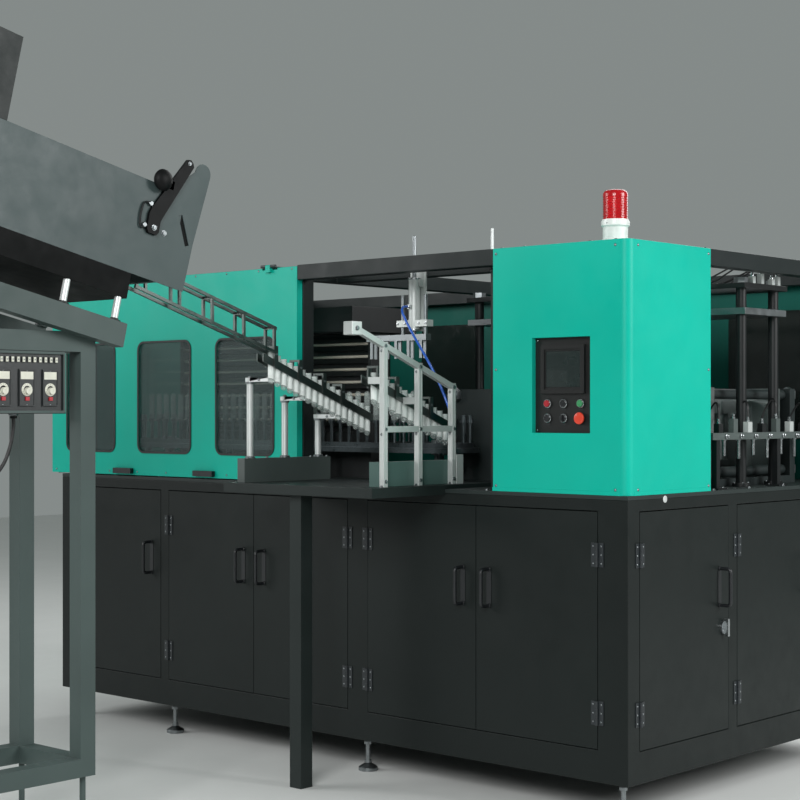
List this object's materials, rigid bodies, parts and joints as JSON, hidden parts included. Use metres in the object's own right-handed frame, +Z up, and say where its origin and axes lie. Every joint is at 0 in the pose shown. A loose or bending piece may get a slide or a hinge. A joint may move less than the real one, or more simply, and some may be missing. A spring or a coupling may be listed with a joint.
{
  "type": "blow moulding machine",
  "caption": "Stretch blow moulding machine with a steel base cabinet, covered heating oven, blow clamp, operator housing and an inclined preform feeder on its own stand.",
  "frame": {"origin": "centre of the object's outer box on the floor", "axes": "+X along the machine's long side towards the operator housing, +Y from the feeder across the machine to its rear, +Z up"},
  "size_m": [3.304, 4.0004, 2.7139],
  "materials": {
    "frame_grey": "satin paint",
    "bed_grey": "satin paint",
    "door_grey": "satin paint",
    "panel_grey": "satin paint",
    "foot_zinc": "zinc plated",
    "hinge_black": "black",
    "lock_steel": "brushed",
    "cabinet_grey": "powder coat",
    "motor_blue_grey": "paint",
    "teal_cover": "gloss powder coat",
    "panel_black": "matt",
    "screen": "glossy",
    "red_button": "glossy",
    "black_button": "glossy",
    "green_button": "glossy",
    "estop_red": "glossy",
    "beacon_white": "glossy",
    "beacon_red": "clear red",
    "tube_grey": "satin paint",
    "window_tint": "tinted",
    "oven_black": "heat-proof black",
    "quartz": "quartz tube",
    "chain_steel": "oiled",
    "wheel_steel": "machined",
    "preform_clear": "clear",
    "table_grey": "satin paint",
    "silver_post": "bright",
    "rail_steel": "brushed",
    "bar_aluminium": "anodised",
    "clamp_steel": "satin paint",
    "mould_aluminium": "machined",
    "tower_black": "satin paint",
    "carriage_steel": "machined",
    "feeder_grey": "satin paint",
    "hopper_grey": "satin paint",
    "stand_grey": "satin paint",
    "roller_steel": "ground",
    "lever_black": "matt",
    "box_black": "satin paint",
    "knob_white": "glossy",
    "cable_black": "matt",
    "hose_blue": "glossy"
  },
  "bodies": {
    "machine": {"base_frame": "frame_grey", "bed_plate": "bed_grey", "levelling_feet": "foot_zinc", "fixed_panels": "panel_grey", "hinge_leaves": "hinge_black", "electrical_cabinet": "cabinet_grey", "drive_motor": "motor_blue_grey", "control_housing": "teal_cover", "hmi_panel": "panel_black", "touch_screen": "screen", "beacon_base": "beacon_white", "beacon_lens": "beacon_red", "top_frame": "tube_grey", "rear_guard": "teal_cover", "rear_windows": "window_tint", "oven_housing": "oven_black", "heater_lamps": "quartz", "chain_track": "chain_steel", "preforms": "preform_clear", "infeed_table": "table_grey", "lane_posts": "silver_post", "lane_rails": "rail_steel", "rail_stand": "bar_aluminium", "loader_cylinder": "bar_aluminium", "clamp_frame": "clamp_steel", "stretch_tower": "tower_black", "feeder_trough": "feeder_grey", "feeder_stand": "stand_grey", "feeder_hopper": "hopper_grey", "feeder_control_box": "box_black", "control_cable": "cable_black", "air_hose": "hose_blue"},
    "front_door_1": {"front_door_1": "door_grey"},
    "front_door_2": {"front_door_2": "door_grey"},
    "front_door_3": {"front_door_3": "door_grey"},
    "front_door_4": {"front_door_4": "door_grey"},
    "front_door_5": {"front_door_5": "door_grey"},
    "side_door_1": {"side_door_1": "door_grey"},
    "side_door_2": {"side_door_2": "door_grey"},
    "side_door_lock": {"side_door_lock": "lock_steel"},
    "stop_button": {"stop_button": "red_button"},
    "reset_button": {"reset_button": "black_button"},
    "start_button": {"start_button": "green_button"},
    "mode_selector": {"mode_selector": "black_button"},
    "jog_button": {"jog_button": "black_button"},
    "emergency_stop": {"emergency_stop": "estop_red"},
    "oven_guard": {"oven_guard": "teal_cover", "guard_windows": "window_tint"},
    "drive_wheel": {"drive_wheel": "wheel_steel"},
    "idler_wheel": {"idler_wheel": "wheel_steel"},
    "loader_gripper": {"loader_gripper": "wheel_steel"},
    "mould_half_front": {"mould_half_front": "mould_aluminium"},
    "mould_half_rear": {"mould_half_rear": "mould_aluminium"},
    "stretch_carriage": {"stretch_carriage": "carriage_steel"},
    "feed_roller_1": {"feed_roller_1": "roller_steel"},
    "feed_roller_2": {"feed_roller_2": "roller_steel"},
    "gate_lever": {"gate_lever": "lever_black"},
    "speed_knob_1": {"speed_knob_1": "knob_white"},
    "speed_knob_2": {"speed_knob_2": "knob_white"},
    "speed_knob_3": {"speed_knob_3": "knob_white"}
  },
  "joints": [
    {"name": "front_door_1_hinge", "type": "hinge", "parent": "machine", "child": "front_door_1", "pos_m": [1.472, 0.29416, 0.24], "axis": [0, 0, 1], "range_deg": [0, 90]},
    {"name": "front_door_2_hinge", "type": "hinge", "parent": "machine", "child": "front_door_2", "pos_m": [0.38, 0.29416, 0.24], "axis": [0, 0, -1], "range_deg": [0, 90]},
    {"name": "front_door_3_hinge", "type": "hinge", "parent": "machine", "child": "front_door_3", "pos_m": [0.272, 0.29416, 0.24], "axis": [0, 0, 1], "range_deg": [0, 90]},
    {"name": "front_door_4_hinge", "type": "hinge", "parent": "machine", "child": "front_door_4", "pos_m": [-0.811, 0.29416, 0.24], "axis": [0, 0, -1], "range_deg": [0, 90]},
    {"name": "front_door_5_hinge", "type": "hinge", "parent": "machine", "child": "front_door_5", "pos_m": [-1.465, 0.29416, 0.24], "axis": [0, 0, -1], "range_deg": [0, 90]},
    {"name": "side_door_1_hinge", "type": "hinge", "parent": "machine", "child": "side_door_1", "pos_m": [1.604, 0.37016, 0.24], "axis": [0, 0, -1], "range_deg": [0, 90]},
    {"name": "side_door_2_hinge", "type": "hinge", "parent": "machine", "child": "side_door_2", "pos_m": [1.604, 1.00516, 0.24], "axis": [0, 0, -1], "range_deg": [0, 90]},
    {"name": "side_door_lock_turn", "type": "hinge", "parent": "side_door_1", "child": "side_door_lock", "pos_m": [1.598, 0.90916, 0.618], "axis": [1, 0, 0], "range_deg": [0, 90]},
    {"name": "stop_button_press", "type": "slide", "parent": "machine", "child": "stop_button", "axis": [0, 1, 0], "range_m": [0, 0.004], "stiffness_N_per_m": 250, "springref_m": -0.004},
    {"name": "reset_button_press", "type": "slide", "parent": "machine", "child": "reset_button", "axis": [0, 1, 0], "range_m": [0, 0.004], "stiffness_N_per_m": 250, "springref_m": -0.004},
    {"name": "start_button_press", "type": "slide", "parent": "machine", "child": "start_button", "axis": [0, 1, 0], "range_m": [0, 0.004], "stiffness_N_per_m": 250, "springref_m": -0.004},
    {"name": "jog_button_press", "type": "slide", "parent": "machine", "child": "jog_button", "axis": [0, 1, 0], "range_m": [0, 0.004], "stiffness_N_per_m": 250, "springref_m": -0.004},
    {"name": "emergency_stop_press", "type": "slide", "parent": "machine", "child": "emergency_stop", "axis": [0, 1, 0], "range_m": [0, 0.004], "stiffness_N_per_m": 250, "springref_m": -0.004},
    {"name": "mode_selector_turn", "type": "hinge", "parent": "machine", "child": "mode_selector", "pos_m": [1.3125, 0.30016, 1.385], "axis": [0, -1, 0], "range_deg": [-45, 45]},
    {"name": "oven_guard_hinge", "type": "hinge", "parent": "machine", "child": "oven_guard", "pos_m": [-0.832, 0.29216, 2.002], "axis": [-1, 0, 0], "range_deg": [0, 80]},
    {"name": "drive_wheel_spin", "type": "hinge", "parent": "machine", "child": "drive_wheel", "pos_m": [0.348, 0.76016, 1.27], "axis": [0, 0, 1], "continuous": true},
    {"name": "idler_wheel_spin", "type": "hinge", "parent": "machine", "child": "idler_wheel", "pos_m": [-1.352, 0.76016, 1.27], "axis": [0, 0, 1], "continuous": true},
    {"name": "loader_lift", "type": "slide", "parent": "machine", "child": "loader_gripper", "axis": [0, 0, 1], "range_m": [-0.1, 0]},
    {"name": "mould_close_front", "type": "slide", "parent": "machine", "child": "mould_half_front", "axis": [0, 1, 0], "range_m": [0, 0.13975]},
    {"name": "mould_close_rear", "type": "slide", "parent": "machine", "child": "mould_half_rear", "axis": [0, -1, 0], "range_m": [0, 0.13975]},
    {"name": "stretch_lift", "type": "slide", "parent": "machine", "child": "stretch_carriage", "axis": [0, 0, 1], "range_m": [-0.2, 0]},
    {"name": "feed_roller_1_spin", "type": "hinge", "parent": "machine", "child": "feed_roller_1", "pos_m": [0.1395, -1.22718, 2.05146], "axis": [0, 0.9755, -0.2198], "continuous": true},
    {"name": "feed_roller_2_spin", "type": "hinge", "parent": "machine", "child": "feed_roller_2", "pos_m": [0.2565, -1.22718, 2.05146], "axis": [0, 0.9755, -0.2198], "continuous": true},
    {"name": "gate_lever_swing", "type": "hinge", "parent": "machine", "child": "gate_lever", "pos_m": [0.413, -0.80118, 2.03132], "axis": [1, 0, 0], "range_deg": [0, 40]},
    {"name": "speed_knob_1_turn", "type": "hinge", "parent": "machine", "child": "speed_knob_1", "pos_m": [0.398, -1.20584, 1.475], "axis": [1, 0, 0], "range_deg": [-140, 140]},
    {"name": "speed_knob_2_turn", "type": "hinge", "parent": "machine", "child": "speed_knob_2", "pos_m": [0.398, -1.29584, 1.475], "axis": [1, 0, 0], "range_deg": [-140, 140]},
    {"name": "speed_knob_3_turn", "type": "hinge", "parent": "machine", "child": "speed_knob_3", "pos_m": [0.398, -1.38584, 1.475], "axis": [1, 0, 0], "range_deg": [-140, 140]}
  ],
  "couplings": [
    {"joint": "idler_wheel_spin", "follows": "drive_wheel_spin", "ratio": 1},
    {"joint": "feed_roller_2_spin", "follows": "feed_roller_1_spin", "ratio": -1},
    {"joint": "mould_close_rear", "follows": "mould_close_front", "ratio": 1}
  ]
}
